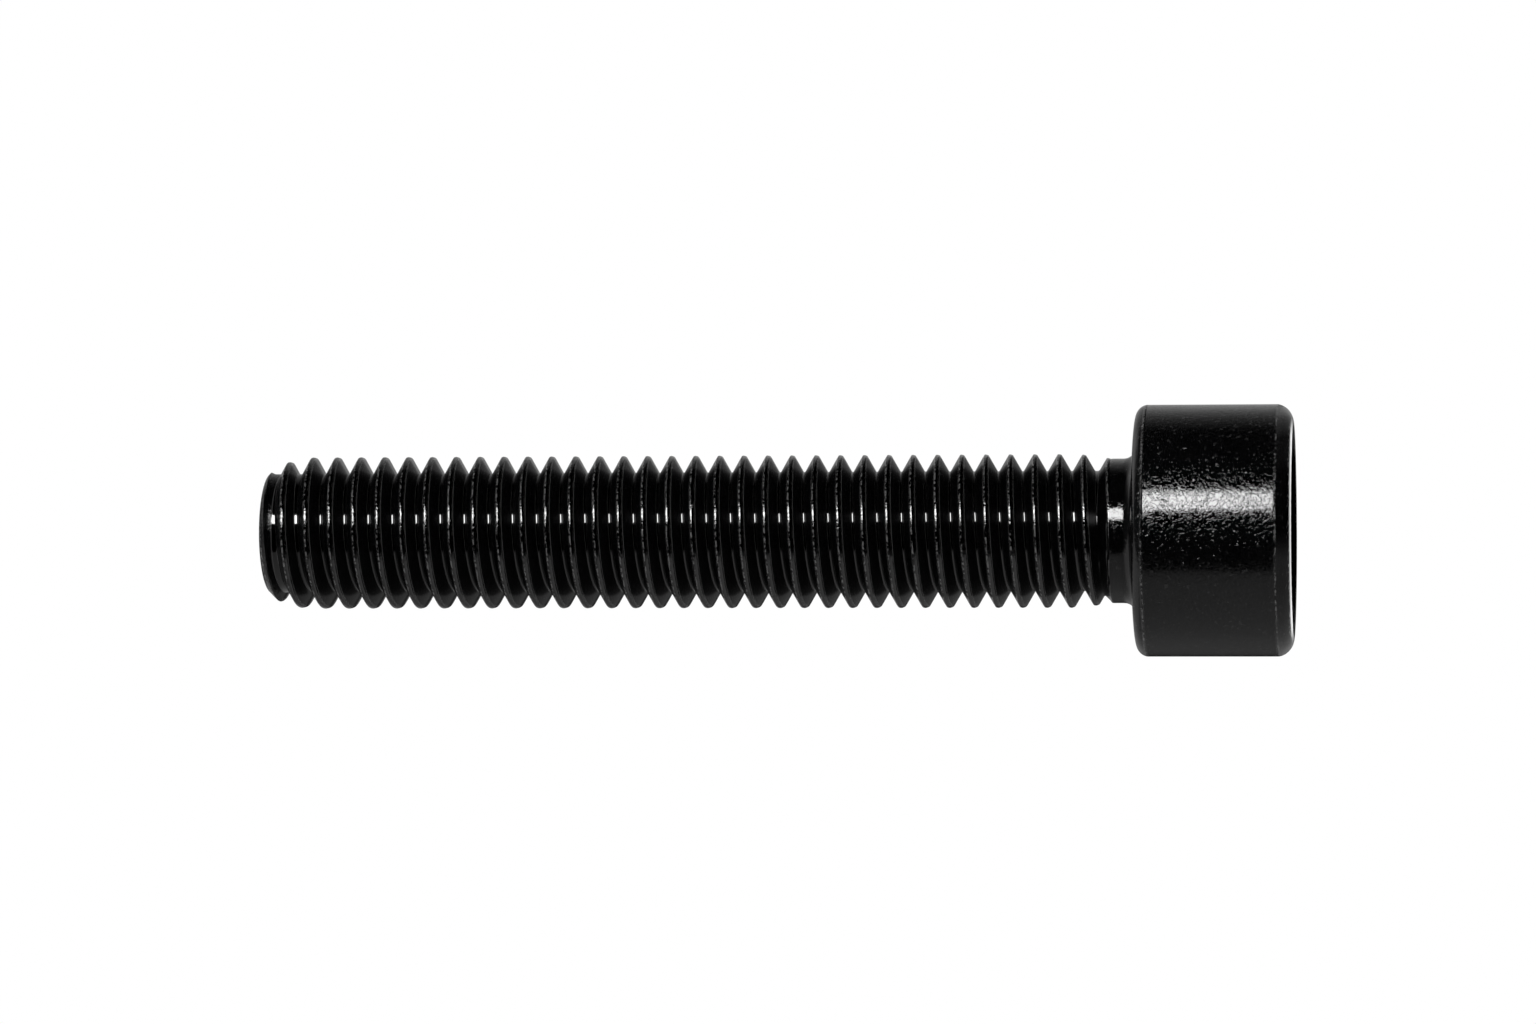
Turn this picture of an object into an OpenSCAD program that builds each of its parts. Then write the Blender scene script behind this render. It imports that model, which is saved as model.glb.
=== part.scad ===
// Socket head cap screw with a thread along its whole shank.
// It stands on its head: the socket opens downwards at z = 0, the bearing face is at
// z = head_h, and the shank points up to its tip at z = head_h + shank_l.

/* [Head] */
// Diameter of the cylindrical head
head_d = 12.85; // [12:0.05:16]
// Height of the head
head_h = 8; // [7:0.1:10]
// Rounding of the edge round the socket face
socket_edge_r = 0.95; // [0.3:0.05:1.2]
// Rounding of the edge round the bearing face
bearing_edge_r = 0.54; // [0.1:0.02:0.8]
// Fillet between the bearing face and the shank
fillet_r = 0.65; // [0.3:0.05:0.9]

/* [Socket] */
// Width of the hexagonal socket across its flats
socket_af = 6; // [4.5:0.1:6.4]
// Depth of the socket's flats below the socket face
socket_depth = 4.4; // [3:0.1:5]
// How far the countersunk mouth reaches past the hexagon's corners
mouth_margin = 0.6; // [0.05:0.05:0.8]
// Included angle of the countersunk mouth
mouth_angle = 110; // [90:5:130]
// Included angle of the cone at the socket's bottom
bottom_angle = 120; // [110:5:140]

/* [Shank] */
// Length of the shank from the bearing face to the tip
shank_l = 45; // [20:1:55]
// Length of plain shank under the head, up to the run-out of the thread
neck_l = 1.2; // [1:0.1:2.4]
// How much smaller the plain neck is than the thread, in radius
neck_step = 0.24; // [0.1:0.02:0.4]
// Length over which the grooves of the thread run out at the neck
run_out = 0.7; // [0.4:0.1:2]
// Length over which the crests fall to the neck
crest_fall = 1.6; // [1:0.1:4]

/* [Thread] */
// Outer diameter of the thread over its crests
thread_d = 7.86; // [7.5:0.02:8.4]
// Pitch of the right-hand thread
pitch = 1.25; // [1.2:0.05:1.5]
// Depth of the thread from crest to root
thread_depth = 0.84; // [0.6:0.02:0.86]
// Angle between the flanks of the thread
flank_angle = 60; // [50:1:60]
// Width of the flat on each crest
crest_flat = 0.16; // [0.1:0.01:0.2]
// Direction in which the first turn starts, seen along the axis
thread_turn = 100; // [0:5:355]

/* [Tip] */
// Diameter of the flat at the tip
tip_d = 6.1; // [5:0.1:6.6]
// Length of the chamfer round the tip, at 45 degrees
tip_chamfer = 0.45; // [0.2:0.05:0.6]
// Length over which the first turns rise to their full height
lead_in = 1.4; // [1:0.1:4]

/* [Hidden] */

// Fineness of the turned surfaces, and the facets in one turn of the thread
$fn = 96;
thread_facets = 24;

// How far a cutting shape runs past the surface that it cuts
past = 0.5;

head_r = head_d / 2;
crest_r = thread_d / 2;
root_r = crest_r - thread_depth;
neck_r = crest_r - neck_step;
tip_r = tip_d / 2;
tip_z = head_h + shank_l;
neck_end_z = head_h + neck_l;

// A hexagon's corner lies this far out for a width across flats
socket_corner_r = socket_af / 2 / cos(30);
mouth_r = socket_corner_r + mouth_margin;

// One turn of the thread: flank up, crest, flank down, and the root between turns
flank_l = thread_depth * tan(flank_angle / 2);
turn_profile = [
    [root_r, 0],
    [crest_r, flank_l],
    [crest_r, flank_l + crest_flat],
    [root_r, 2 * flank_l + crest_flat]
];
rows_per_turn = len(turn_profile);

// The helix starts a pitch below the neck's end and runs a pitch past the tip
helix_start_z = neck_end_z - 2 * pitch;
turns = ceil((tip_z + pitch - helix_start_z) / pitch);
rows = turns * rows_per_turn + 1;

// The point on one row of the helix, after a number of facets round the axis
function helix_point(row, facet) =
    let(
        place = turn_profile[row % rows_per_turn],
        turn = floor(row / rows_per_turn) + facet / thread_facets,
        angle = thread_turn + 360 * facet / thread_facets
    )
    [place[0] * cos(angle), place[0] * sin(angle),
     helix_start_z + place[1] + pitch * turn];

// A row that has gone all the way round meets the same row of the next turn
function helix_index(row, facet) =
    facet < thread_facets
        ? row * thread_facets + facet
        : (row + rows_per_turn) * thread_facets;

// A rod with the full thread along all of it, closed by a fan of triangles at each end
module threaded_rod() {
    last = rows - 1;
    points = [for (row = [0:last], facet = [0:thread_facets - 1]) helix_point(row, facet)];
    low_centre = [0, 0, helix_start_z + pitch / 2];
    high_centre = [0, 0, helix_start_z + pitch * (last / rows_per_turn + 0.5)];
    low = len(points);
    high = low + 1;

    sides = [
        for (row = [0:last - 1], facet = [0:thread_facets - 1])
            if (facet < thread_facets - 1 || row < last - rows_per_turn)
                let(
                    a = helix_index(row, facet),
                    b = helix_index(row, facet + 1),
                    c = helix_index(row + 1, facet + 1),
                    d = helix_index(row + 1, facet)
                )
                each [[a, c, b], [a, d, c]]
    ];
    low_edge = [
        for (facet = [0:thread_facets]) helix_index(0, facet),
        for (row = [rows_per_turn - 1:-1:1]) helix_index(row, 0)
    ];
    high_edge = [
        for (facet = [0:thread_facets - 1]) helix_index(last, facet),
        for (back = [1:rows_per_turn]) helix_index(last - back, thread_facets - 1)
    ];
    low_fan = [
        for (i = [0:len(low_edge) - 1])
            [low, low_edge[i], low_edge[(i + 1) % len(low_edge)]]
    ];
    high_fan = [
        for (i = [0:len(high_edge) - 1])
            [high, high_edge[(i + 1) % len(high_edge)], high_edge[i]]
    ];
    polyhedron(points = concat(points, [low_centre, high_centre]),
               faces = concat(sides, low_fan, high_fan), convexity = 10);
}

// The turned blank that bounds the thread: fall to the neck, lead-in, chamfer and flat tip
module thread_bounds() {
    // Between its two tapers the blank stands clear of the crests
    clear = 0.1;
    fall_slope = neck_step / crest_fall;
    lead_slope = (crest_r - tip_r - tip_chamfer) / lead_in;
    rotate_extrude()
        polygon([
            [0, neck_end_z - past],
            [neck_r, neck_end_z - past],
            [neck_r, neck_end_z],
            [crest_r + clear, neck_end_z + crest_fall + clear / fall_slope],
            [crest_r + clear, tip_z - tip_chamfer - lead_in - clear / lead_slope],
            [tip_r + tip_chamfer, tip_z - tip_chamfer],
            [tip_r, tip_z],
            [0, tip_z]
        ]);
}

// The plain neck, with the cone on which the grooves run out
module neck() {
    inside_root_r = root_r - 0.05;
    translate([0, 0, head_h - past])
        cylinder(r = neck_r, h = neck_l + past);
    translate([0, 0, neck_end_z])
        cylinder(r1 = neck_r, r2 = inside_root_r, h = run_out);
}

// Half of the head's section, with both outer edges rounded
module head_section() {
    difference() {
        square([head_r, head_h]);
        translate([head_r - socket_edge_r, 0])
            edge_waste(socket_edge_r);
        translate([head_r - bearing_edge_r, head_h])
            mirror([0, 1])
                edge_waste(bearing_edge_r);
    }
}

// What a rounding of radius r takes off a square corner at the lower right
module edge_waste(r) {
    difference() {
        translate([0, -past])
            square([r + past, r + past]);
        translate([0, r])
            circle(r = r);
        translate([-past, r])
            square([r + past, 2 * r]);
    }
}

// The fillet's section, which hugs the neck and the bearing face
module fillet_section() {
    difference() {
        translate([neck_r - past, head_h - past])
            square(fillet_r + past);
        translate([neck_r + fillet_r, head_h + fillet_r])
            circle(r = fillet_r);
    }
}

// The hexagonal socket with its countersunk mouth and its conical bottom
module socket() {
    mouth_depth = mouth_r / tan(mouth_angle / 2);
    past_r = past * tan(mouth_angle / 2);
    bottom_r = socket_af / 2;
    translate([0, 0, -past])
        cylinder(r = socket_corner_r, h = socket_depth + past, $fn = 6);
    translate([0, 0, -past])
        cylinder(r1 = mouth_r + past_r, r2 = 0, h = mouth_depth + past);
    translate([0, 0, socket_depth - 0.01])
        cylinder(r1 = bottom_r - 0.01, r2 = 0, h = bottom_r / tan(bottom_angle / 2));
}

module screw() {
    color([0.09, 0.09, 0.1])
        difference() {
            union() {
                rotate_extrude()
                    head_section();
                rotate_extrude()
                    fillet_section();
                neck();
                intersection() {
                    threaded_rod();
                    thread_bounds();
                }
            }
            socket();
        }
}

screw();
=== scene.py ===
from math import cos, pi, radians, sin, tan

import bmesh
import bpy
from mathutils import Matrix, Vector


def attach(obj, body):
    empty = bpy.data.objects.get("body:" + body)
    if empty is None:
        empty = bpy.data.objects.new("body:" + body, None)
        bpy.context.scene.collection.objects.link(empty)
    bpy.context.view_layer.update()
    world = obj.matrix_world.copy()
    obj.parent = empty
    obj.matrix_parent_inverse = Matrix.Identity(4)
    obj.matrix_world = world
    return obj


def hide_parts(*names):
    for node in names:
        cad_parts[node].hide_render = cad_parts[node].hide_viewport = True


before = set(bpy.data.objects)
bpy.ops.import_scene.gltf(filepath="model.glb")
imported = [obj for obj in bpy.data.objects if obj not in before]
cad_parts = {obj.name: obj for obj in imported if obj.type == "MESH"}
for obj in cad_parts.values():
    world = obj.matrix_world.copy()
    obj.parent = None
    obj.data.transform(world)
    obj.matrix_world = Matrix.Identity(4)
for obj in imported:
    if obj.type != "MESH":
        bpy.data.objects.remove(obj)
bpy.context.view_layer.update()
mm = 0.001


# The head is forged with the shank from one length of steel, and the die rounds its two outer
# edges. A hexagonal socket is punched into the face that the screw stands on, with a
# countersunk mouth and a conical bottom. A short plain neck joins the head to the thread.
head_radius = 6.425 * mm
head_height = 8 * mm
socket_edge_round = 0.95 * mm
socket_edge_break = 11
bearing_edge_round = 0.65 * mm
bearing_edge_break = 10
neck_radius = 3.69 * mm
neck_fillet = 0.65 * mm
neck_end = 9.2 * mm
socket_flats = 6 * mm
socket_depth = 4.4 * mm
mouth_radius = 4.06 * mm
mouth_half_angle = radians(55)
mouth_lip = 0.03 * mm
bottom_radius = 2.955 * mm
bottom_half_angle = radians(60)
columns = 96


def hexagon_radius(angle):
    """Distance from the axis to the socket's wall; two corners lie on the X axis."""
    return socket_flats / 2 / cos(angle % radians(60) - radians(30))


def arc(centre_radius, centre_height, radius, start, end, steps):
    """Section points on a rounding, from one angle to another in degrees."""
    points = []
    for step in range(steps + 1):
        angle = radians(start + (end - start) * step / steps)
        points.append((centre_radius + radius * cos(angle), centre_height + radius * sin(angle)))
    return points


def add_ring(shell, point_at):
    """One ring of corners round the axis; point_at gives radius and height at an angle."""
    ring = []
    for column in range(columns):
        angle = 2 * pi * column / columns
        radius, height = point_at(angle)
        ring.append(shell.verts.new((radius * cos(angle), radius * sin(angle), height)))
    return ring


def turned_rings(shell, section):
    """Rings for a list of section points, each the same all round."""
    return [add_ring(shell, lambda angle, point=point: point) for point in section]


def skin(shell, rings):
    """Faces between each ring and the next, pointing away from the steel."""
    for low, high in zip(rings, rings[1:]):
        for column in range(columns):
            after = (column + 1) % columns
            shell.faces.new((low[column], low[after], high[after], high[column]))


shell = bmesh.new()
cone_rings = (0.06, 0.25, 0.5, 0.75, 1)
cone_height = bottom_radius / tan(bottom_half_angle)
bottom_centre = shell.verts.new((0, 0, socket_depth + cone_height))
bottom_cone = [(share * bottom_radius, socket_depth + (1 - share) * cone_height)
               for share in cone_rings]
rings = turned_rings(shell, bottom_cone)
first_ring = rings[0]
for column in range(columns):
    shell.faces.new((bottom_centre, first_ring[(column + 1) % columns], first_ring[column]))
rings.append(add_ring(shell, lambda angle: (hexagon_radius(angle), socket_depth)))


def mouth_edge(angle):
    """Where the countersink cuts a wall of the socket, in six shallow scallops."""
    radius = hexagon_radius(angle)
    return radius, (mouth_radius - radius) / tan(mouth_half_angle)


wall_rings = (0.35, 0.7, 1)
mouth_rings = (0.5, 0.96)
for share in wall_rings:
    rings.append(add_ring(shell, lambda angle, share=share: (
        hexagon_radius(angle), socket_depth + share * (mouth_edge(angle)[1] - socket_depth))))
for share in mouth_rings:
    rings.append(add_ring(shell, lambda angle, share=share: (
        mouth_edge(angle)[0] + share * (mouth_radius - mouth_edge(angle)[0]),
        (1 - share) * mouth_edge(angle)[1])))

# Each rounding meets the side of the head at a faint break, a few degrees short of level, and
# the side's own rings lie close to its two ends, so that the break stays crisp
face_rings = (0.33, 0.67)
side_rings = (0.002, 0.25, 0.5, 0.75, 0.998)
neck_rings = (0.4, 0.8, 1)
socket_edge_steps = 14
bearing_edge_steps = 10
fillet_steps = 10
socket_round_centre = head_radius - socket_edge_round * cos(radians(socket_edge_break))
bearing_round_centre = head_radius - bearing_edge_round * cos(radians(bearing_edge_break))
side_low = socket_edge_round * (1 - sin(radians(socket_edge_break)))
side_high = head_height - bearing_edge_round * (1 - sin(radians(bearing_edge_break)))
fillet_top = head_height + neck_fillet
outside = [(mouth_radius + mouth_lip, 0)]
outside += [(mouth_radius + share * (socket_round_centre - mouth_radius), 0)
            for share in face_rings]
outside += arc(socket_round_centre, socket_edge_round, socket_edge_round,
               -90, -socket_edge_break, socket_edge_steps)
outside += [(head_radius, side_low + share * (side_high - side_low)) for share in side_rings]
outside += arc(bearing_round_centre, head_height - bearing_edge_round, bearing_edge_round,
               bearing_edge_break, 90, bearing_edge_steps)
outside += arc(neck_radius + neck_fillet, fillet_top, neck_fillet, 270, 180, fillet_steps)
outside += [(neck_radius, fillet_top + share * (neck_end - fillet_top)) for share in neck_rings]
rings += turned_rings(shell, outside)
skin(shell, rings)

# The tip: sheared flat before the thread is rolled, so it is slightly dished, with a small
# rounding where it meets the chamfer.
tip_height = 53 * mm
tip_radius = 3.05 * mm
tip_round_reach = 0.05 * mm
tip_round_steps = 5
tip_dish = 0.05 * mm
dish_rings = (0.9, 0.75, 0.6, 0.45, 0.3, 0.15, 0.04)
chamfer_angle = 45
round_radius = tip_round_reach / (1 - cos(radians(chamfer_angle)))
face_edge = tip_radius + tip_round_reach - round_radius * sin(radians(chamfer_angle))
tip_section = arc(face_edge, tip_height - round_radius, round_radius,
                  chamfer_angle, 90, tip_round_steps)
tip_section += [(share * face_edge, tip_height - tip_dish * (1 - share ** 2) ** 2)
                for share in dish_rings]
tip_rings = turned_rings(shell, tip_section)
skin(shell, tip_rings)
tip_centre = shell.verts.new((0, 0, tip_height - tip_dish))
last_ring = tip_rings[-1]
for column in range(columns):
    shell.faces.new((last_ring[column], last_ring[(column + 1) % columns], tip_centre))
shell_mesh = bpy.data.meshes.new("screw_shell")
shell.to_mesh(shell_mesh)
shell.free()


# The thread is rolled between dies along the whole shank: right hand, 1.25 mm pitch, 60 degree
# flanks with rounded crests and roots. Its first turns rise behind a chamfer at the tip, and
# at the head its grooves run out into the plain neck.
thread_sizes = {
    "Start": neck_end,
    "End": tip_height - tip_round_reach,
    "Tip Height": tip_height,
    "Tip Radius": tip_radius,
    "Chamfer": 0.45 * mm,
    "Lead In": 1.4 * mm,
    "Lowest Crest": 3.58 * mm,
    "Crest Radius": 3.93 * mm,
    "Depth": 0.86 * mm,
    "Pitch": 1.25 * mm,
    "Half Angle": radians(30),
    "Crest Flat": 0.2 * mm,
    "Crest Lean": 0.22,
    "Crest Rounding": 0.06 * mm,
    "Root Rounding": 0.05 * mm,
    "First Crest": 6.917 * mm,
    "Neck Radius": neck_radius,
    "Crest Fall": 1.6 * mm,
    "Run Out": 0.7 * mm,
}
thread_counts = {"Columns": columns, "Steps": 22}
row_gathering = 0.7

# Where the crest starts to lean, how wide its leaning part is, and how far the run-out cone
# dips under the root
lean_start = 0.03 * mm
lean_width = 0.16 * mm
cone_undercut = 0.05 * mm

# Widths over which one surface of the thread eases into the next
crest_ease = 0.12 * mm
cone_ease = 0.08 * mm
chamfer_ease = 0.04 * mm
neck_ease = 0.12 * mm
tip_ease = 0.03 * mm

# Reach of the marks for the finish: the crest, the root, and the light grey lines along the
# crest's edges, strong on the tip's side and faint on the head's side, with their places past
# the crest. These lines are partly scraped wear and partly painted highlight.
crest_mark = 0.09 * mm
root_mark = 0.05 * mm
wear_and_highlight_edge, wear_and_highlight_reach = 0.08 * mm, 0.05 * mm
faint_highlight_edge, faint_highlight_reach, faint_highlight_share = -0.11 * mm, 0.04 * mm, 0.12
unmarked_crest_step, marked_crest_step = 0.1 * mm, 0.3 * mm
weld_gap = 0.002 * mm


def calc(tree, operation, *values):
    """A Math node in the tree; its values are numbers or other nodes' outputs."""
    node = tree.nodes.new("ShaderNodeMath")
    node.operation = operation
    for socket, value in zip(node.inputs, values):
        if isinstance(value, bpy.types.NodeSocket):
            tree.links.new(value, socket)
        else:
            socket.default_value = value
    return node.outputs[0]


def rise(tree, value, low, high):
    """Smooth step from 0 to 1 between two values, which may be outputs too."""
    step = tree.nodes.new("ShaderNodeMapRange")
    step.interpolation_type = "SMOOTHSTEP"
    tree.links.new(value, step.inputs["Value"])
    for name, limit in (("From Min", low), ("From Max", high)):
        if isinstance(limit, bpy.types.NodeSocket):
            tree.links.new(limit, step.inputs[name])
        else:
            step.inputs[name].default_value = limit
    return step.outputs["Result"]


def band(tree, value, middle, reach):
    """Mask that is 1 at the middle value and falls to 0 at a reach either side."""
    gap = calc(tree, "ABSOLUTE", calc(tree, "SUBTRACT", value, middle))
    return calc(tree, "MAXIMUM", calc(tree, "SUBTRACT", 1, calc(tree, "DIVIDE", gap, reach)), 0)


def blend(tree, share, first, second):
    """First value at a share of 0, second at a share of 1."""
    return calc(tree, "MULTIPLY_ADD", calc(tree, "SUBTRACT", second, first), share, first)


roller = bpy.data.node_groups.new("rolled_thread", "GeometryNodeTree")
roller.interface.new_socket(name="Shell", in_out="INPUT", socket_type="NodeSocketGeometry")
for name in thread_sizes:
    roller.interface.new_socket(name=name, in_out="INPUT", socket_type="NodeSocketFloat")
for name in thread_counts:
    roller.interface.new_socket(name=name, in_out="INPUT", socket_type="NodeSocketInt")
roller.interface.new_socket(name="Thread Finish", in_out="INPUT",
                            socket_type="NodeSocketMaterial")
roller.interface.new_socket(name="Screw", in_out="OUTPUT", socket_type="NodeSocketGeometry")
given = roller.nodes.new("NodeGroupInput").outputs

# Rows of the grid climb with the helix, so the crest and the root each follow one row, and
# they lie closer together where the section is rounded.
crest_height = given["First Crest"]
turns_to_start = calc(roller, "DIVIDE", calc(roller, "SUBTRACT", given["Start"], crest_height),
                      given["Pitch"])
turns_to_end = calc(roller, "DIVIDE", calc(roller, "SUBTRACT", given["End"], crest_height),
                    given["Pitch"])
low_turn = calc(roller, "FLOOR", calc(roller, "SUBTRACT", turns_to_start, 1))
high_turn = calc(roller, "CEIL", turns_to_end)
all_turns = calc(roller, "SUBTRACT", high_turn, low_turn)
grid = roller.nodes.new("GeometryNodeMeshGrid")
grid.inputs["Size X"].default_value = 1
grid.inputs["Size Y"].default_value = 1
roller.links.new(calc(roller, "ADD", given["Columns"], 1), grid.inputs["Vertices X"])
roller.links.new(calc(roller, "MULTIPLY_ADD", all_turns, given["Steps"], 1),
                 grid.inputs["Vertices Y"])
on_grid = roller.nodes.new("ShaderNodeSeparateXYZ")
roller.links.new(roller.nodes.new("GeometryNodeInputPosition").outputs[0], on_grid.inputs[0])
around = calc(roller, "ADD", on_grid.outputs["X"], 0.5)
along = calc(roller, "ADD", on_grid.outputs["Y"], 0.5)
turn = calc(roller, "MULTIPLY_ADD", along, all_turns, low_turn)
row_shift = calc(roller, "SINE", calc(roller, "MULTIPLY", turn, 4 * pi))
turn = calc(roller, "SUBTRACT", turn, calc(
    roller, "MULTIPLY", row_gathering / (4 * pi), row_shift))
height = calc(roller, "MULTIPLY_ADD", calc(roller, "ADD", turn, around), given["Pitch"],
              crest_height)
height = calc(roller, "MINIMUM", calc(roller, "MAXIMUM", height, given["Start"]), given["End"])

# Distance past the nearest crest, and that crest's own height
turn_here = calc(roller, "SUBTRACT", calc(
    roller, "DIVIDE", calc(roller, "SUBTRACT", height, crest_height), given["Pitch"]), around)
past_crest = calc(roller, "MULTIPLY", given["Pitch"], calc(
    roller, "SUBTRACT", turn_here, calc(roller, "ROUND", turn_here)))
from_crest = calc(roller, "ABSOLUTE", past_crest)
crest_level = calc(roller, "SUBTRACT", height, past_crest)

# The crests are low at the tip, behind its chamfer, and again where they meet the neck
below_tip = calc(roller, "SUBTRACT", given["Tip Height"], crest_level)
chamfer_edge = calc(roller, "ADD", given["Tip Radius"], given["Chamfer"])
lead_slope = calc(roller, "DIVIDE", calc(
    roller, "SUBTRACT", given["Crest Radius"], chamfer_edge), given["Lead In"])
lead_radius = calc(roller, "MULTIPLY_ADD", calc(
    roller, "SUBTRACT", below_tip, given["Chamfer"]), lead_slope, chamfer_edge)
lead_radius = calc(roller, "MAXIMUM", lead_radius, given["Lowest Crest"])
fall_slope = calc(roller, "DIVIDE", calc(
    roller, "SUBTRACT", given["Crest Radius"], given["Neck Radius"]), given["Crest Fall"])
fall_radius = calc(roller, "MULTIPLY_ADD", calc(
    roller, "SUBTRACT", crest_level, given["Start"]), fall_slope, given["Neck Radius"])
crest_here = calc(roller, "SMOOTH_MIN", given["Crest Radius"], calc(
    roller, "MINIMUM", lead_radius, fall_radius), crest_ease)

# The section of the thread: the dies leave each crest flat towards the tip and falling a
# little to the head, between straight flanks that end in a narrow root
flank = calc(roller, "DIVIDE", calc(
    roller, "MULTIPLY_ADD", given["Crest Flat"], -0.5, from_crest),
    calc(roller, "TANGENT", given["Half Angle"]))
groove = calc(roller, "SMOOTH_MAX", flank, 0, given["Crest Rounding"])
leaning = calc(roller, "MINIMUM", calc(
    roller, "MAXIMUM", calc(roller, "SUBTRACT", lean_start, past_crest), 0), lean_width)
groove = calc(roller, "MULTIPLY_ADD", leaning, given["Crest Lean"], groove)
radius = calc(roller, "SUBTRACT", crest_here, groove)

# The root is level, a cone takes it up to the neck, and the chamfer bounds it at the tip
root_radius = calc(roller, "SUBTRACT", given["Crest Radius"], given["Depth"])
radius = calc(roller, "SMOOTH_MAX", radius, root_radius, given["Root Rounding"])
cone_drop = calc(roller, "ADD", calc(
    roller, "SUBTRACT", given["Neck Radius"], root_radius), cone_undercut)
cone_slope = calc(roller, "DIVIDE", cone_drop, given["Run Out"])
above_neck = calc(roller, "SUBTRACT", height, given["Start"])
cone_radius = calc(roller, "SUBTRACT", given["Neck Radius"],
                   calc(roller, "MULTIPLY", above_neck, cone_slope))
radius = calc(roller, "SMOOTH_MAX", radius, cone_radius, cone_ease)
chamfer_radius = calc(roller, "ADD", given["Tip Radius"], calc(
    roller, "SUBTRACT", given["Tip Height"], height))
radius = calc(roller, "SMOOTH_MIN", radius, chamfer_radius, chamfer_ease)
off_neck = rise(roller, above_neck, 0, neck_ease)
radius = blend(roller, off_neck, given["Neck Radius"], radius)
off_tip = rise(roller, calc(roller, "SUBTRACT", given["End"], height), 0, tip_ease)
radius = blend(roller, off_tip, chamfer_radius, radius)
angle = calc(roller, "MULTIPLY", around, 2 * pi)
place = roller.nodes.new("ShaderNodeCombineXYZ")
for axis, share in (("X", "COSINE"), ("Y", "SINE")):
    roller.links.new(calc(roller, "MULTIPLY", radius, calc(roller, share, angle)),
                     place.inputs[axis])
roller.links.new(height, place.inputs["Z"])

# Marks for the finish stay with the mesh: crest, root, and the crest's two edge lines, partly
# scraped wear and partly painted highlight, which only a crest that stands high above the root
# has
crest_share = band(roller, calc(roller, "MINIMUM", radius, crest_here), crest_here, crest_mark)
root_share = band(roller, radius, root_radius, root_mark)
high_crest = rise(roller, calc(roller, "SUBTRACT", crest_here, root_radius),
                  unmarked_crest_step, marked_crest_step)
# The crest's edge lines: partly scraped wear, partly painted highlight, faint on the head's side
faint_wear_and_highlight = calc(roller, "MULTIPLY", band(roller, past_crest, faint_highlight_edge, faint_highlight_reach),
                  faint_highlight_share)
edge_wear_and_highlight = band(roller, past_crest, wear_and_highlight_edge, wear_and_highlight_reach)
wear_and_highlight_share = calc(roller, "MULTIPLY", calc(roller, "MAXIMUM", edge_wear_and_highlight, faint_wear_and_highlight), high_crest)
marked = grid.outputs["Mesh"]
for name, share in (("crest_share", crest_share), ("root_share", root_share),
                    ("wear_and_highlight_share", wear_and_highlight_share)):
    keep = roller.nodes.new("GeometryNodeStoreNamedAttribute")
    keep.data_type = "FLOAT"
    keep.domain = "POINT"
    keep.inputs["Name"].default_value = name
    roller.links.new(marked, keep.inputs["Geometry"])
    roller.links.new(calc(roller, "MINIMUM", share, 1), keep.inputs["Value"])
    marked = keep.outputs["Geometry"]
bend = roller.nodes.new("GeometryNodeSetPosition")
roller.links.new(marked, bend.inputs["Geometry"])
roller.links.new(place.outputs[0], bend.inputs["Position"])

# The thread closes the gap between the neck and the tip
join = roller.nodes.new("GeometryNodeJoinGeometry")
roller.links.new(bend.outputs["Geometry"], join.inputs["Geometry"])
roller.links.new(given["Shell"], join.inputs["Geometry"])
weld = roller.nodes.new("GeometryNodeMergeByDistance")
weld.inputs["Distance"].default_value = weld_gap
roller.links.new(join.outputs["Geometry"], weld.inputs["Geometry"])
real = roller.nodes.new("GeometryNodeRealizeInstances")
roller.links.new(weld.outputs["Geometry"], real.inputs["Geometry"])
face_place = roller.nodes.new("ShaderNodeSeparateXYZ")
roller.links.new(roller.nodes.new("GeometryNodeInputPosition").outputs[0], face_place.inputs[0])
finish = roller.nodes.new("GeometryNodeSetMaterial")
roller.links.new(real.outputs["Geometry"], finish.inputs["Geometry"])
roller.links.new(calc(roller, "GREATER_THAN", face_place.outputs["Z"], given["Start"]),
                 finish.inputs["Selection"])
roller.links.new(given["Thread Finish"], finish.inputs["Material"])
made = roller.nodes.new("NodeGroupOutput")
roller.links.new(finish.outputs["Geometry"], made.inputs["Screw"])


# The finish is black oxide under a film of oil: dark, glossy and nearly without colour. The
# forged head keeps a fine peel from tumbling, with specks in it and its two edges worn. The
# rolled thread is smoother and duller, but polished on its crests and in its roots. Along the
# crests' edges it carries light grey lines, partly scrapes and partly painted highlight.
crease_reach = 0.06
speck_start, speck_full = 0.64, 0.74


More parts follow.
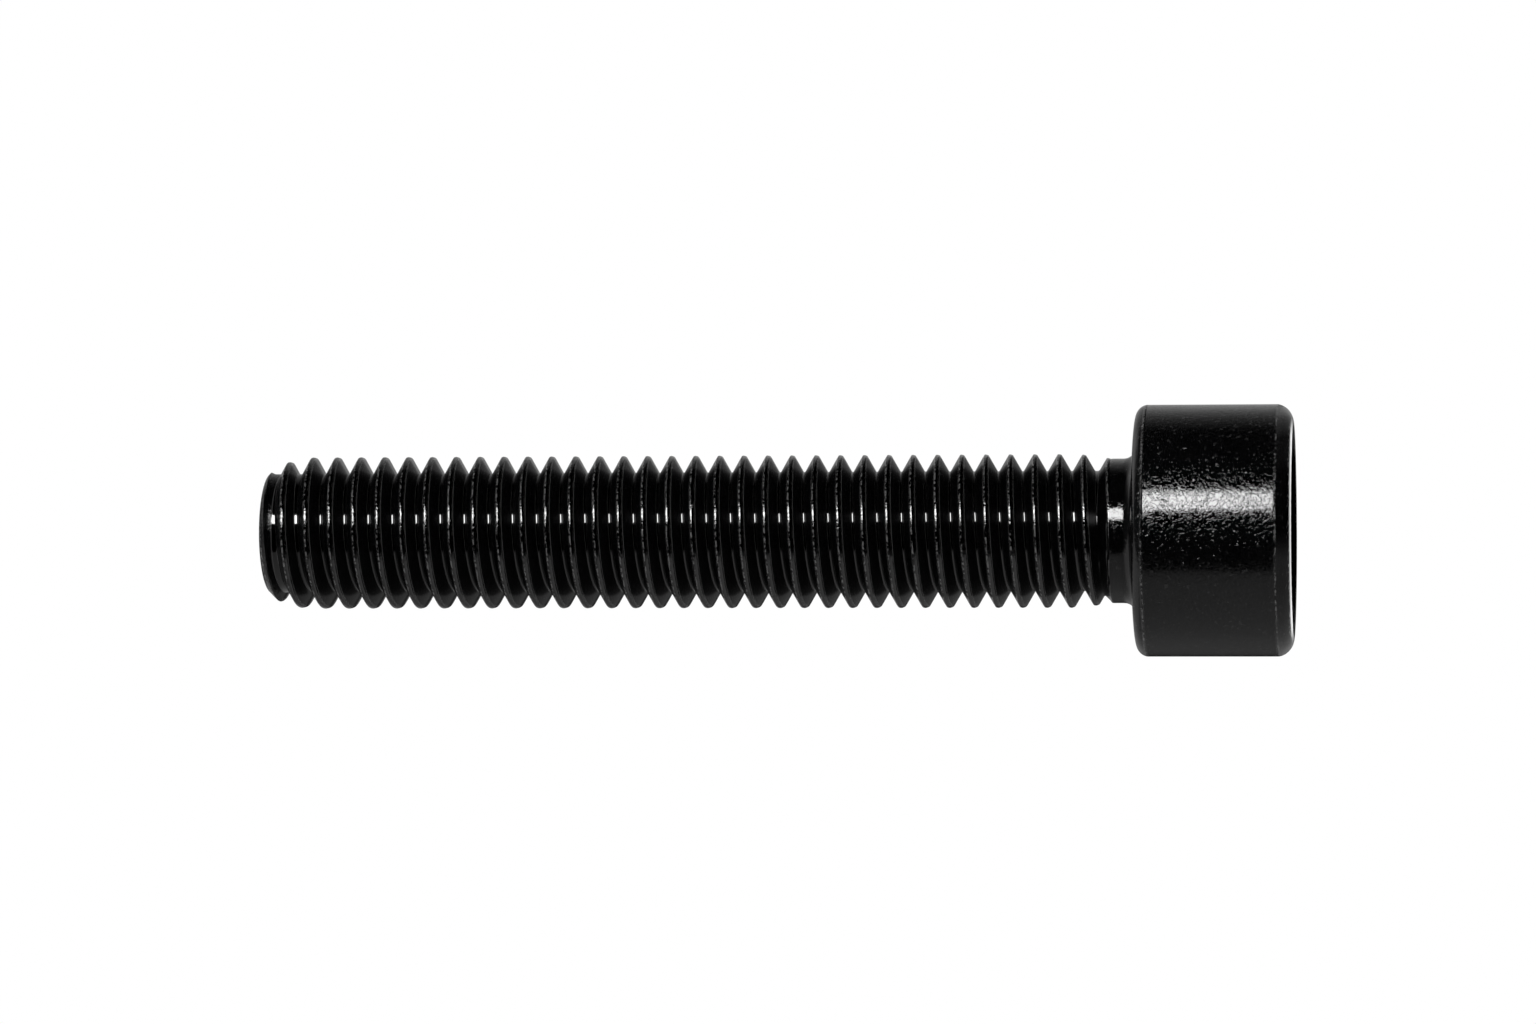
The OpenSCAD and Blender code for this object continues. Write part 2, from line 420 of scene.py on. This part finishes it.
def oxide_skin():
    """Group that gives the peel, its fine creases, a cloudy variation and small specks."""
    group = bpy.data.node_groups.new("oxide_skin", "ShaderNodeTree")
    group.interface.new_socket(name="Place", in_out="INPUT", socket_type="NodeSocketVector")
    for name in ("Peel Scale", "Cloud Scale", "Speck Scale"):
        group.interface.new_socket(name=name, in_out="INPUT", socket_type="NodeSocketFloat")
    for name in ("Peel", "Creases", "Cloud", "Specks"):
        group.interface.new_socket(name=name, in_out="OUTPUT", socket_type="NodeSocketFloat")
    taken = group.nodes.new("NodeGroupInput").outputs
    given_out = group.nodes.new("NodeGroupOutput").inputs

    peel = group.nodes.new("ShaderNodeTexNoise")
    peel.inputs["Detail"].default_value = 2.5
    peel.inputs["Roughness"].default_value = 0.55
    peel.inputs["Distortion"].default_value = 0.6
    group.links.new(taken["Place"], peel.inputs["Vector"])
    group.links.new(taken["Peel Scale"], peel.inputs["Scale"])
    group.links.new(peel.outputs["Fac"], given_out["Peel"])
    off_line = calc(group, "ABSOLUTE", calc(group, "SUBTRACT", peel.outputs["Fac"], 0.5))
    group.links.new(calc(group, "SUBTRACT", 1, rise(group, off_line, 0, crease_reach)),
                    given_out["Creases"])

    cloud = group.nodes.new("ShaderNodeTexNoise")
    cloud.inputs["Detail"].default_value = 3
    group.links.new(taken["Place"], cloud.inputs["Vector"])
    group.links.new(taken["Cloud Scale"], cloud.inputs["Scale"])
    group.links.new(cloud.outputs["Fac"], given_out["Cloud"])

    specks = group.nodes.new("ShaderNodeTexNoise")
    specks.inputs["Detail"].default_value = 1
    group.links.new(taken["Place"], specks.inputs["Vector"])
    group.links.new(taken["Speck Scale"], specks.inputs["Scale"])
    group.links.new(rise(group, specks.outputs["Fac"], speck_start, speck_full),
                    given_out["Specks"])
    return group


skin_group = oxide_skin()
oxide_black = (0.0006, 0.0006, 0.0007, 1)
oxide_grey = (0.005, 0.005, 0.0053, 1)
polished_oxide = (0.15, 0.15, 0.15, 1)
worn_grey = (0.1, 0.1, 0.1, 1)
# Grey of the crest's edge lines: partly scrapes, partly painted highlight
scrape_and_highlight_grey = (0.22, 0.22, 0.22, 1)


def black_oxide(name, ior, peel_scale, cloud_scale, speck_scale):
    """Material with the shared skin in it; returns its parts for the piece's own details."""
    material = bpy.data.materials.new(name)
    material.use_nodes = True
    tree = material.node_tree
    shader = tree.nodes["Principled BSDF"]
    shader.inputs["IOR"].default_value = ior
    where = tree.nodes.new("ShaderNodeTexCoord").outputs["Object"]
    parts = tree.nodes.new("ShaderNodeSeparateXYZ")
    tree.links.new(where, parts.inputs[0])
    coat = tree.nodes.new("ShaderNodeGroup")
    coat.node_tree = skin_group
    tree.links.new(where, coat.inputs["Place"])
    coat.inputs["Peel Scale"].default_value = peel_scale
    coat.inputs["Cloud Scale"].default_value = cloud_scale
    coat.inputs["Speck Scale"].default_value = speck_scale
    return material, tree, shader, coat.outputs, parts.outputs["Z"]


def tint(tree, shader, share):
    """Base Color between the two oxide tones, by a share from 0 to 1."""
    tones = tree.nodes.new("ShaderNodeValToRGB")
    tones.color_ramp.elements[0].color = oxide_black
    tones.color_ramp.elements[1].color = oxide_grey
    tree.links.new(share, tones.inputs["Fac"])
    tree.links.new(tones.outputs["Color"], shader.inputs["Base Color"])


def relief(tree, shader, height, distance):
    """Bump from a height in the tree, with its distance as a real size."""
    bump = tree.nodes.new("ShaderNodeBump")
    bump.inputs["Distance"].default_value = distance
    tree.links.new(height, bump.inputs["Height"])
    tree.links.new(bump.outputs["Normal"], shader.inputs["Normal"])


def cover(tree, shader, share, colour):
    """A second colour over the one in Base Color, by a share from 0 to 1."""
    mix = tree.nodes.new("ShaderNodeMix")
    mix.data_type = "RGBA"
    tree.links.new(share, mix.inputs["Factor"])
    under, over, mixed = mix.inputs[6], mix.inputs[7], mix.outputs[2]
    tree.links.new(shader.inputs["Base Color"].links[0].from_socket, under)
    over.default_value = colour
    tree.links.new(mixed, shader.inputs["Base Color"])


head_black, tree, shader, coat, level = black_oxide("forged_head_black", 1.9, 4600, 900, 5200)
head_tint = 0.5
head_roughness, head_cloudiness = 0.03, 0.06
head_peel = 0.0105 * mm
crease_share, speck_share = 0.2, 0.8
speck_grey_share = 0.12
edge_reach = 0.09 * mm
edge_dents = 6
neck_skin_start = 7.5 * mm
neck_skin_loss = 0.5
bare_start, bare_full = 0.5, 0.62
worn_start, worn_full = 0.3, 0.9
edges = calc(tree, "MAXIMUM", band(tree, level, side_low, edge_reach),
             band(tree, level, side_high, edge_reach))
tint(tree, shader, calc(tree, "MULTIPLY", coat["Cloud"], head_tint))
cover(tree, shader, calc(tree, "MULTIPLY", coat["Specks"], speck_grey_share), worn_grey)
cover(tree, shader, calc(tree, "MULTIPLY", rise(tree, edges, worn_start, worn_full), rise(
    tree, coat["Peel"], bare_start, bare_full)), worn_grey)
tree.links.new(calc(tree, "MULTIPLY_ADD", coat["Cloud"], head_cloudiness, head_roughness),
               shader.inputs["Roughness"])
skin_height = calc(tree, "MULTIPLY_ADD", coat["Creases"], crease_share, coat["Peel"])
skin_height = calc(tree, "MULTIPLY_ADD", coat["Specks"], speck_share, skin_height)
skin_height = calc(tree, "MULTIPLY", skin_height, calc(
    tree, "MULTIPLY_ADD", edges, edge_dents, 1))
on_neck = rise(tree, level, neck_skin_start, head_height)
skin_height = calc(tree, "MULTIPLY", skin_height, calc(
    tree, "MULTIPLY_ADD", on_neck, -neck_skin_loss, 1))
relief(tree, shader, skin_height, head_peel)

thread_black, tree, shader, coat, level = black_oxide(
    "rolled_thread_black", 1.5, 6500, 1200, 6000)
thread_tint = 0.4
thread_roughness, thread_cloudiness = 0.04, 0.04
dull_roughness = 0.12
thread_peel = 0.016 * mm
flank_peel_share = 0.04
tip_start, tip_full = 52.3 * mm, 52.4 * mm
# Where the crest's edge lines show as grey patches: partly scrapes, partly painted highlight
scrape_highlight_start, scrape_highlight_full = 0.44, 0.58
crest_start, crest_full = 0, 0.4
root_start, root_full = 0.4, 0.8
shares = []
for name in ("crest_share", "root_share", "wear_and_highlight_share"):
    kept = tree.nodes.new("ShaderNodeAttribute")
    kept.attribute_name = name
    shares.append(kept.outputs["Fac"])
crest, root, wear_and_highlight = shares
at_tip = rise(tree, level, tip_start, tip_full)
polished = calc(tree, "MAXIMUM", rise(tree, crest, crest_start, crest_full),
                rise(tree, root, root_start, root_full))
polished = calc(tree, "MULTIPLY", polished, calc(tree, "SUBTRACT", 1, at_tip))
# Light grey along the crests' edges, without the metal's gloss: partly scraped wear, partly
# painted highlight
scrape_and_highlight = calc(tree, "MULTIPLY", wear_and_highlight, rise(tree, coat["Peel"], scrape_highlight_start, scrape_highlight_full))
tint(tree, shader, calc(tree, "MULTIPLY", coat["Cloud"], thread_tint))
cover(tree, shader, polished, polished_oxide)
cover(tree, shader, scrape_and_highlight, scrape_and_highlight_grey)
tree.links.new(calc(tree, "MULTIPLY", polished, calc(tree, "SUBTRACT", 1, scrape_and_highlight)),
               shader.inputs["Metallic"])
dull = calc(tree, "SUBTRACT", 1, calc(tree, "MAXIMUM", polished, at_tip))
rough = calc(tree, "MULTIPLY_ADD", coat["Cloud"], thread_cloudiness, thread_roughness)
tree.links.new(calc(tree, "MULTIPLY_ADD", dull, dull_roughness, rough),
               shader.inputs["Roughness"])
peel_share = calc(tree, "ADD", calc(tree, "MAXIMUM", crest, at_tip), at_tip)
relief(tree, shader, calc(tree, "MULTIPLY", coat["Peel"], calc(
    tree, "ADD", peel_share, flank_peel_share)), thread_peel)


# The finished screw: one closed mesh that takes the place of the CAD solid
shell_mesh.materials.append(head_black)
shell_mesh.materials.append(thread_black)
blank = bpy.data.objects.new("screw_blank", shell_mesh)
bpy.context.scene.collection.objects.link(blank)
rolling = blank.modifiers.new("rolled_thread", "NODES")
rolling.node_group = roller
values = {**thread_sizes, **thread_counts, "Thread Finish": thread_black}
for item in roller.interface.items_tree:
    if item.item_type == "SOCKET" and item.name in values:
        rolling[item.identifier] = values[item.name]
rolled = blank.evaluated_get(bpy.context.evaluated_depsgraph_get())
screw_mesh = bpy.data.meshes.new_from_object(rolled)
screw_mesh.name = "cap_screw"
blank.modifiers.clear()
bpy.data.objects.remove(blank)
sharp_from = radians(35)
screw_mesh.shade_smooth()
screw_mesh.set_sharp_from_angle(angle=sharp_from)
screw = bpy.data.objects.new("cap_screw", screw_mesh)
bpy.context.scene.collection.objects.link(screw)
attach(screw, "root")
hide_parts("screw")


# Camera: a long lens a little beyond the head's end, turned on its side, so that the screw
# lies level in the picture with its head to the right, as it was photographed.
picture_width_px = 1536
focal_length_px = 5685
sensor_width = 36
camera_distance = 290.4 * mm
camera_beyond_head = 8.17 * mm
camera_raise = 1.02 * mm
toward_tip = radians(6.897)
roll = radians(0.19)
near_limit = 10 * mm
camera = bpy.data.objects.new("camera", bpy.data.cameras.new("camera"))
bpy.context.scene.collection.objects.link(camera)
camera.data.sensor_width = sensor_width
camera.data.lens = sensor_width * focal_length_px / picture_width_px
camera.data.clip_start = near_limit
forward = Vector((0, cos(toward_tip), sin(toward_tip)))
picture_up = Vector((1, 0, 0))
picture_right = forward.cross(picture_up)
facing = Matrix((picture_right, picture_up, -forward)).transposed()
camera.matrix_world = Matrix.Translation(
    (camera_raise, -camera_distance, -camera_beyond_head)
) @ facing.to_4x4() @ Matrix.Rotation(-roll, 4, "Z")
bpy.context.scene.camera = camera


# Floor: a plain pale sheet under the head, which fades to the white of the studio away from
# the screw. The camera lies just below its level, so it can't be seen from its underside.
floor_half = 1.5
floor_drop = 0.05 * mm
sweep_start = 80 * mm
sweep_end = 450 * mm
paper_white = (0.9, 0.9, 0.9, 1)
floor_mesh = bpy.data.meshes.new("floor")
floor_mesh.from_pydata(
    [(-floor_half, -floor_half, -floor_drop), (floor_half, -floor_half, -floor_drop),
     (floor_half, floor_half, -floor_drop), (-floor_half, floor_half, -floor_drop)],
    [], [(0, 1, 2, 3)])
floor = bpy.data.objects.new("floor", floor_mesh)
bpy.context.scene.collection.objects.link(floor)
paper = bpy.data.materials.new("pale_paper")
paper.use_nodes = True
tree = paper.node_tree
sheet = tree.nodes["Principled BSDF"]
sheet.inputs["Base Color"].default_value = paper_white
sheet.inputs["Roughness"].default_value = 0.8
sheet.inputs["Specular IOR Level"].default_value = 0.2
white = tree.nodes.new("ShaderNodeEmission")
rays = tree.nodes.new("ShaderNodeLightPath")
from_screw = tree.nodes.new("ShaderNodeVectorMath")
from_screw.operation = "LENGTH"
tree.links.new(tree.nodes.new("ShaderNodeTexCoord").outputs["Object"], from_screw.inputs[0])
far_off = calc(tree, "MULTIPLY", rays.outputs["Is Camera Ray"], rise(
    tree, from_screw.outputs["Value"], sweep_start, sweep_end))
seen = tree.nodes.new("ShaderNodeMixShader")
tree.links.new(calc(tree, "MAXIMUM", far_off, calc(
    tree, "MAXIMUM", rays.outputs["Is Glossy Ray"], rays.outputs["Is Transmission Ray"])),
    seen.inputs["Fac"])
tree.links.new(sheet.outputs["BSDF"], seen.inputs[1])
tree.links.new(white.outputs[0], seen.inputs[2])
clear = tree.nodes.new("ShaderNodeBsdfTransparent")
side = tree.nodes.new("ShaderNodeMixShader")
tree.links.new(tree.nodes.new("ShaderNodeNewGeometry").outputs["Backfacing"], side.inputs["Fac"])
tree.links.new(seen.outputs["Shader"], side.inputs[1])
tree.links.new(clear.outputs["BSDF"], side.inputs[2])
tree.links.new(side.outputs["Shader"], tree.nodes["Material Output"].inputs["Surface"])
floor_mesh.materials.append(paper)


# Studio: white surroundings and three softboxes. The long one stands beside the camera on the
# picture's upper side and is only mirrored in the steel; one over the tip and one at the side
# give the soft light and the shadow. A drum of black and grey card round the screw is seen only
# in its reflections.
def aim(lamp, place, target, long_side):
    """Points a lamp at a target, with its longer side along a direction."""
    back = (place - target).normalized()
    across = (long_side - long_side.dot(back) * back).normalized()
    lamp.matrix_world = Matrix.Translation(place) @ Matrix(
        (across, back.cross(across), back)).transposed().to_4x4()


def softbox(name, length, width, radiance):
    """A rectangular lamp of an even brightness, given as the radiance of its face."""
    data = bpy.data.lights.new(name, "AREA")
    data.shape = "RECTANGLE"
    data.size = length
    data.size_y = width
    data.energy = radiance * pi * length * width
    lamp = bpy.data.objects.new(name, data)
    bpy.context.scene.collection.objects.link(lamp)
    return lamp


head_centre = Vector((0, 0, 0))
strip_angle = radians(27)
strip_distance = 230 * mm
strip_length = 150 * mm
strip_width = 67 * mm
strip_radiance = 8.8
strip_start = 1 * mm
strip_level = strip_start + strip_length / 2
strip = softbox("strip_softbox", strip_length, strip_width, strip_radiance)
aim(strip, Vector((strip_distance * sin(strip_angle), -strip_distance * cos(strip_angle),
                   strip_level)), Vector((0, 0, strip_level)), Vector((0, 0, 1)))
strip.visible_diffuse = False
overhead_size = 300 * mm
overhead_height = 450 * mm
overhead_radiance = 2.8
overhead = softbox("overhead_softbox", overhead_size, overhead_size, overhead_radiance)
aim(overhead, Vector((0, 0, overhead_height)), head_centre, Vector((0, 1, 0)))
overhead.visible_glossy = False
side_key_size = 225 * mm
side_key_place = Vector((300 * mm, -330 * mm, 375 * mm))
side_key_radiance = 5.5
side_key = softbox("side_softbox", side_key_size, side_key_size, side_key_radiance)
aim(side_key, side_key_place, head_centre, Vector((1, 0, 0)))
side_key.visible_glossy = False

drum_radius = 270 * mm
drum_height = 600 * mm
drum_sides = 96
drum_mesh = bpy.data.meshes.new("card_drum")
drum_bottom = -0.02 * mm
corners = []
for card_level in (drum_bottom, drum_height):
    for side_number in range(drum_sides):
        turned = 2 * pi * side_number / drum_sides
        corners.append((drum_radius * cos(turned), drum_radius * sin(turned), card_level))
panels = [(n, (n + 1) % drum_sides, drum_sides + (n + 1) % drum_sides, drum_sides + n)
          for n in range(drum_sides)]
panels += [tuple(range(drum_sides)), tuple(range(drum_sides, 2 * drum_sides))]
drum_mesh.from_pydata(corners, [], panels)
drum = bpy.data.objects.new("card_drum", drum_mesh)
bpy.context.scene.collection.objects.link(drum)
for ray in ("camera", "diffuse", "shadow", "transmission", "volume_scatter"):
    setattr(drum, "visible_" + ray, False)
card = bpy.data.materials.new("black_and_grey_card")
card.use_nodes = True
tree = card.node_tree
tree.nodes.remove(tree.nodes["Principled BSDF"])
spot = tree.nodes.new("ShaderNodeSeparateXYZ")
tree.links.new(tree.nodes.new("ShaderNodeTexCoord").outputs["Object"], spot.inputs[0])
bearing = calc(tree, "MULTIPLY_ADD", calc(tree, "ARCTAN2", spot.outputs["X"], calc(
    tree, "MULTIPLY", spot.outputs["Y"], -1)), 1 / (2 * pi), 0.5)
reach = calc(tree, "SQRT", calc(
    tree, "ADD", calc(tree, "MULTIPLY", spot.outputs["X"], spot.outputs["X"]),
    calc(tree, "MULTIPLY", spot.outputs["Y"], spot.outputs["Y"])))


def card_ring(tree, bearing, tones):
    """Brightness of the card by its bearing in degrees; 0 is the camera's side."""
    node = tree.nodes.new("ShaderNodeValToRGB")
    tree.links.new(bearing, node.inputs["Fac"])
    elements = node.color_ramp.elements
    while len(elements) < len(tones):
        elements.new(0.5)
    for element, (degree, tone) in zip(elements, tones):
        element.position = degree / 360 + 0.5
        element.color = (tone, tone, tone, 1)
    return node.outputs["Color"]


level_card = card_ring(tree, bearing, (
    (-180, 0), (-165, 0.02), (-144, 0.11), (-120, 0.165), (-91, 0.15), (-38, 0.11), (-36, 0),
    (104, 0), (113, 0.045), (120, 0.1), (128, 0.17), (136, 0.26), (148, 0.4), (180, 0.42)))
back_card = card_ring(tree, bearing, (
    (-180, 0.3), (-150, 0.25), (-120, 0.15), (-38, 0.1), (-36, 0),
    (108, 0), (120, 0.08), (150, 0.25), (180, 0.35)))
high_card = card_ring(tree, bearing, (
    (-180, 0.02), (-168, 0.02), (-158, 0.25), (-120, 0.25), (-40, 0.25), (-30, 0.02),
    (74, 0.02), (90, 0.06), (105, 0.14), (120, 0.3), (135, 0.42), (158, 0.45),
    (168, 0.03), (180, 0.02)))
floor_card = card_ring(tree, bearing, (
    (-180, 0.1), (-120, 0.2), (-40, 0.2), (-32, 0), (120, 0), (180, 0.2)))
near_card = card_ring(tree, bearing, (
    (-180, 0.2), (-90, 0.3), (-62, 0.2), (-49, 0.165), (-30, 0.115), (-14, 0.1), (-6, 0.02),
    (0, 0), (30, 0), (38, 0.025), (54, 0.02), (64, 0.1), (76, 0.17), (90, 0.38), (180, 0.38)))

# The card changes with the slope at which it is seen, and the drum's bottom with its distance
# from the axis. Close under the head's edge, on the camera's side, it has a bright ring.
back_card_start, back_card_full = 0.1, 0.25
high_card_start, high_card_full = 0.6, 1.0
near_card_edge, floor_card_edge = 11 * mm, 15 * mm
ring_inside, ring_outside = 5.36 * mm, 5.79 * mm
ring_tone = 2.2
ring_fade = 0.8
ring_fade_start, ring_fade_full = -3.6 * mm, -1 * mm
slope = calc(tree, "DIVIDE", spot.outputs["Z"], reach)
card_tone = blend(tree, rise(tree, slope, back_card_start, back_card_full),
                  level_card, back_card)
card_tone = blend(tree, rise(tree, slope, high_card_start, high_card_full),
                  card_tone, high_card)
bottom_tone = blend(tree, rise(tree, reach, near_card_edge, floor_card_edge),
                    near_card, floor_card)
ring_share = calc(tree, "SUBTRACT", 1, calc(
    tree, "MULTIPLY", rise(tree, spot.outputs["Y"], ring_fade_start, ring_fade_full), ring_fade))
on_ring = calc(tree, "MULTIPLY", calc(tree, "GREATER_THAN", reach, ring_inside),
               calc(tree, "LESS_THAN", spot.outputs["Y"], 0))
under_head = calc(tree, "LESS_THAN", reach, ring_outside)
bottom_tone = blend(tree, under_head, bottom_tone, calc(
    tree, "MULTIPLY", calc(tree, "MULTIPLY", on_ring, ring_share), ring_tone))
at_bottom = calc(tree, "LESS_THAN", spot.outputs["Z"], 0)
card_tone = blend(tree, at_bottom, card_tone, bottom_tone)
glow = tree.nodes.new("ShaderNodeEmission")
tree.links.new(card_tone, glow.inputs["Strength"])
tree.links.new(glow.outputs[0], tree.nodes["Material Output"].inputs["Surface"])
drum_mesh.materials.append(card)

world = bpy.data.worlds.new("studio")
bpy.context.scene.world = world
world.use_nodes = True
tree = world.node_tree
background = tree.nodes["Background"]
background.inputs["Color"].default_value = (1, 1, 1, 1)
fill_level = 0.5
rays = tree.nodes.new("ShaderNodeLightPath")
seen = calc(tree, "MAXIMUM", rays.outputs["Is Camera Ray"], calc(
    tree, "MAXIMUM", rays.outputs["Is Glossy Ray"], rays.outputs["Is Transmission Ray"]))
tree.links.new(calc(tree, "MULTIPLY_ADD", seen, 1 - fill_level, fill_level),
               background.inputs["Strength"])
bpy.context.scene.view_settings.view_transform = "Standard"
